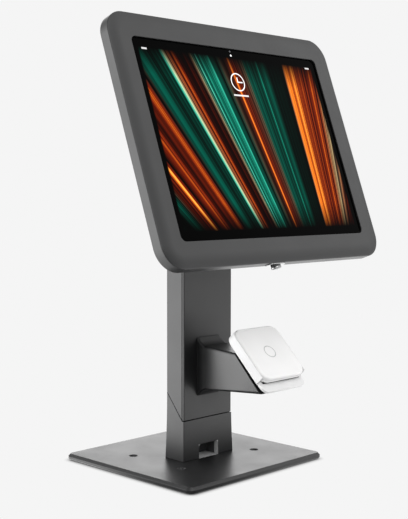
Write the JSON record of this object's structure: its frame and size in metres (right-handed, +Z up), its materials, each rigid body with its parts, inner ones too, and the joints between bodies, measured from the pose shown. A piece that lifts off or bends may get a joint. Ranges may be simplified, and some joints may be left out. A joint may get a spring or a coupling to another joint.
{
  "type": "touchscreen kiosk",
  "caption": "Counter-top kiosk: square steel base, split column, tilting and turning lockable tablet enclosure, and a card reader in a dock on a flared arm.",
  "frame": {"origin": "centre of the base plate, on the counter (the underside of the base mat)", "axes": "+Z up, -Y towards the visitor (the display and the card reader face -Y), +X to the visitor's right"},
  "size_m": [0.3292, 0.2315, 0.4695],
  "materials": {
    "painted_steel": "satin powder coat",
    "steel": "zinc plated",
    "chrome": "polished",
    "black_plastic": "fine texture",
    "white_plastic": "soft gloss",
    "rubber": "matte",
    "aluminium": "anodised",
    "display_glass": "polished, over a lit display",
    "circuit_board": "solder mask",
    "battery_cell": "wrapped cell"
  },
  "bodies": {
    "stand": {"base_plate": "painted_steel", "base_mat": "rubber", "column_foot": "painted_steel", "column_spigot": "aluminium", "spigot_screw_left": "steel", "spigot_screw_right": "steel", "column_screw": "steel", "column_channel": "painted_steel", "column_front_cover": "painted_steel", "column_cap": "black_plastic", "neck_block": "aluminium", "neck_bracket": "painted_steel", "neck_screw_upper": "steel", "neck_screw_lower": "steel", "column_cable": "rubber", "reader_arm": "painted_steel", "arm_screw_upper": "steel", "arm_screw_lower": "steel", "reader_dock": "white_plastic", "dock_screw_left": "steel", "dock_screw_right": "steel", "card_reader_top": "white_plastic", "card_reader_bottom": "white_plastic", "card_reader_board": "circuit_board", "reader_cable": "rubber", "tilt_bolt": "steel", "tilt_nut": "steel", "tilt_washer_left": "black_plastic", "tilt_washer_right": "black_plastic"},
    "tilt": {"tilt_yoke": "painted_steel"},
    "head": {"rear_tray": "painted_steel", "vesa_plate": "steel", "turn_washer": "black_plastic", "hub_nut": "steel", "vesa_screw_upper_left": "steel", "vesa_screw_upper_right": "steel", "vesa_screw_lower_left": "steel", "vesa_screw_lower_right": "steel", "corner_retainer_upper_left": "black_plastic", "corner_retainer_upper_right": "black_plastic", "corner_retainer_lower_left": "black_plastic", "corner_retainer_lower_right": "black_plastic", "tablet_pad": "rubber", "tablet_shell": "aluminium", "tablet_display": "display_glass", "tablet_battery": "battery_cell", "tablet_logic_board": "circuit_board", "tablet_cable": "rubber", "lock_keeper": "steel", "cover_hinge_pin_left": "steel", "cover_hinge_pin_right": "steel"},
    "cover": {"front_cover": "painted_steel", "lock_escutcheon": "chrome", "lock_barrel": "chrome", "lock_clip": "steel"},
    "lock": {"lock_plug": "chrome", "lock_cam": "steel"},
    "power_button": {"tablet_power_button": "aluminium"},
    "volume_up": {"tablet_volume_up": "aluminium"},
    "volume_down": {"tablet_volume_down": "aluminium"}
  },
  "joints": [
    {"name": "tilt", "type": "hinge", "parent": "stand", "child": "tilt", "pos_m": [0, -0.05128, 0.33492], "axis": [1, 0, 0], "range_deg": [-25, 10]},
    {"name": "head_turn", "type": "hinge", "parent": "tilt", "child": "head", "pos_m": [0, -0.0883, 0.3484], "axis": [0, -0.9397, 0.342], "range_deg": [0, 90]},
    {"name": "cover_open", "type": "hinge", "parent": "head", "child": "cover", "pos_m": [0, -0.02983, 0.46227], "axis": [-1, 0, 0], "range_deg": [0, 75]},
    {"name": "lock_turn", "type": "hinge", "parent": "cover", "child": "lock", "pos_m": [-0.0105, -0.12558, 0.22405], "axis": [0, -0.342, -0.9397], "range_deg": [0, 90]},
    {"name": "power_button_press", "type": "slide", "parent": "head", "child": "power_button", "axis": [1, 0, 0], "range_m": [0, 0.0004], "stiffness_N_per_m": 900},
    {"name": "volume_up_press", "type": "slide", "parent": "head", "child": "volume_up", "axis": [0, -0.342, -0.9397], "range_m": [0, 0.0004], "stiffness_N_per_m": 900},
    {"name": "volume_down_press", "type": "slide", "parent": "head", "child": "volume_down", "axis": [0, -0.342, -0.9397], "range_m": [0, 0.0004], "stiffness_N_per_m": 900}
  ]
}
